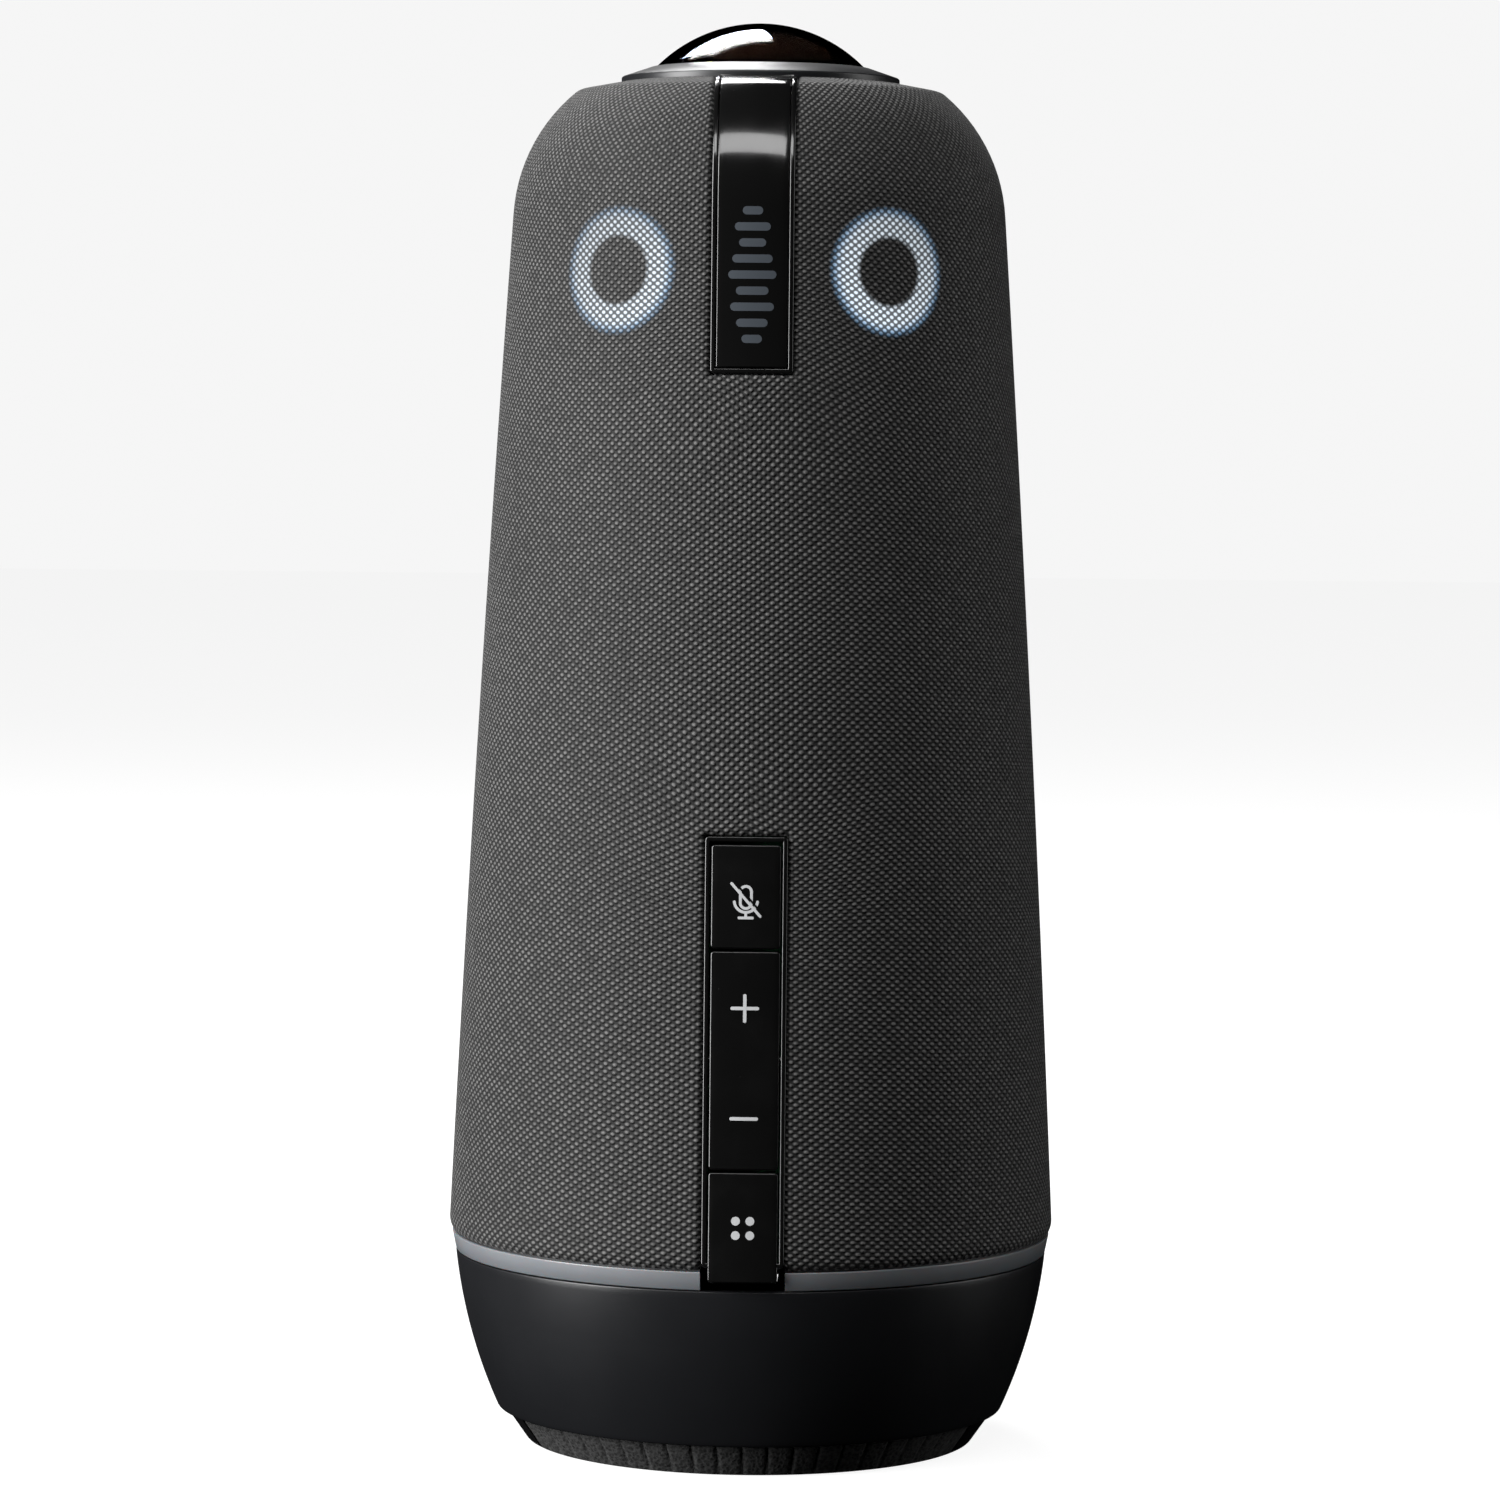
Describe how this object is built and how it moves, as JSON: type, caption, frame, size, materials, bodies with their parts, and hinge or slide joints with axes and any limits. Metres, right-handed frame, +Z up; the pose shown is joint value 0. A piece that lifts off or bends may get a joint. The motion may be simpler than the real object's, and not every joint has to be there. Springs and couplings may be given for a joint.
{
  "type": "conference speakerphone",
  "caption": "Tall tapered cloth-covered conference speaker with a dome camera lens, front key strips, a light ring and a bowl-shaped base on a conical rubber foot.",
  "frame": {"origin": "centre of the foot, on the surface the unit stands on", "axes": "+Z up along the body's axis, front keys face -Y, ports face +Y"},
  "size_m": [0.1148, 0.1152, 0.268],
  "materials": {
    "aluminium_sink": "extruded",
    "board_green": "solder mask",
    "brass_insert": "plain",
    "cloth": "woven",
    "cone_paper": "pulp",
    "foam": "foam",
    "foot_plastic": "gloss",
    "foot_rubber": "grainy",
    "frosted": "frosted",
    "gloss_black": "gloss",
    "inner_glass": "coated",
    "inner_plastic": "matte",
    "key_black": "gloss",
    "led_white": "gloss",
    "lens_glass": "coated",
    "magnet_steel": "plated",
    "ribbon": "film",
    "satin_black": "satin",
    "screw_steel": "plain",
    "sensor_dark": "gloss",
    "socket_steel": "plain",
    "soft_rubber": "matte"
  },
  "bodies": {
    "body": {"action_dome": "soft_rubber", "base_chassis": "inner_plastic", "base_plate": "inner_plastic", "base_screws": "screw_steel", "base_shell": "satin_black", "camera_heat_sink": "aluminium_sink", "camera_holder": "inner_plastic", "cap_nut": "inner_plastic", "case_screws": "screw_steel", "driver_frames": "inner_plastic", "driver_magnets": "magnet_steel", "driver_screws": "screw_steel", "enclosure_gasket": "foam", "enclosure_lid": "inner_plastic", "enclosure_tub": "inner_plastic", "eye_boards": "board_green", "eye_rings": "frosted", "fabric_sleeve": "cloth", "foot_pads": "foot_rubber", "foot_sides": "foot_plastic", "grille_frame": "inner_plastic", "heat_sink": "aluminium_sink", "image_sensor": "sensor_dark", "inner_lenses": "inner_glass", "io_board": "board_green", "key_board": "board_green", "key_frame": "gloss_black", "lens_barrel": "inner_plastic", "lens_dome": "lens_glass", "lens_retainer": "gloss_black", "light_ring": "frosted", "lower_bulkhead": "inner_plastic", "main_board": "board_green", "mic_board": "board_green", "mic_gasket": "foam", "microphones": "socket_steel", "mute_dome": "soft_rubber", "port_panel": "satin_black", "power_jack": "gloss_black", "ribbon_cables": "ribbon", "ring_led_board": "board_green", "rocker_pin": "screw_steel", "sensor_board": "board_green", "shield_cans": "socket_steel", "surround_left": "soft_rubber", "surround_rear": "soft_rubber", "surround_right": "soft_rubber", "top_cap": "satin_black", "top_plate": "gloss_black", "top_strip_frame": "gloss_black", "tripod_insert": "brass_insert", "usb_socket": "socket_steel", "volume_domes": "soft_rubber", "white_leds": "led_white"},
    "mute_key": {"mute_key": "key_black"},
    "action_key": {"action_key": "key_black"},
    "volume_key": {"volume_key": "key_black"},
    "cone_left": {"cone_left": "cone_paper"},
    "cone_right": {"cone_right": "cone_paper"},
    "cone_rear": {"cone_rear": "cone_paper"}
  },
  "joints": [
    {"name": "mute_press", "type": "slide", "parent": "body", "child": "mute_key", "axis": [0, 0.9987, -0.0508], "range_m": [0, 0.0004], "stiffness_N_per_m": 2500, "deforming": ["mute_dome"]},
    {"name": "action_press", "type": "slide", "parent": "body", "child": "action_key", "axis": [0, 0.9987, -0.0508], "range_m": [0, 0.0004], "stiffness_N_per_m": 2500, "deforming": ["action_dome"]},
    {"name": "volume_rock", "type": "hinge", "parent": "body", "child": "volume_key", "pos_m": [0, -0.05185, 0.07781], "axis": [1, 0, 0], "range_deg": [-1, 1], "stiffness_Nm_per_rad": 0.6, "deforming": ["volume_domes"]},
    {"name": "cone_left_travel", "type": "slide", "parent": "body", "child": "cone_left", "axis": [-0.866, -0.5, 0], "range_m": [-0.001, 0.001], "stiffness_N_per_m": 2000, "deforming": ["surround_left"]},
    {"name": "cone_right_travel", "type": "slide", "parent": "body", "child": "cone_right", "axis": [0.866, -0.5, 0], "range_m": [-0.001, 0.001], "stiffness_N_per_m": 2000, "deforming": ["surround_right"]},
    {"name": "cone_rear_travel", "type": "slide", "parent": "body", "child": "cone_rear", "axis": [0, 1, 0], "range_m": [-0.001, 0.001], "stiffness_N_per_m": 2000, "deforming": ["surround_rear"]}
  ]
}
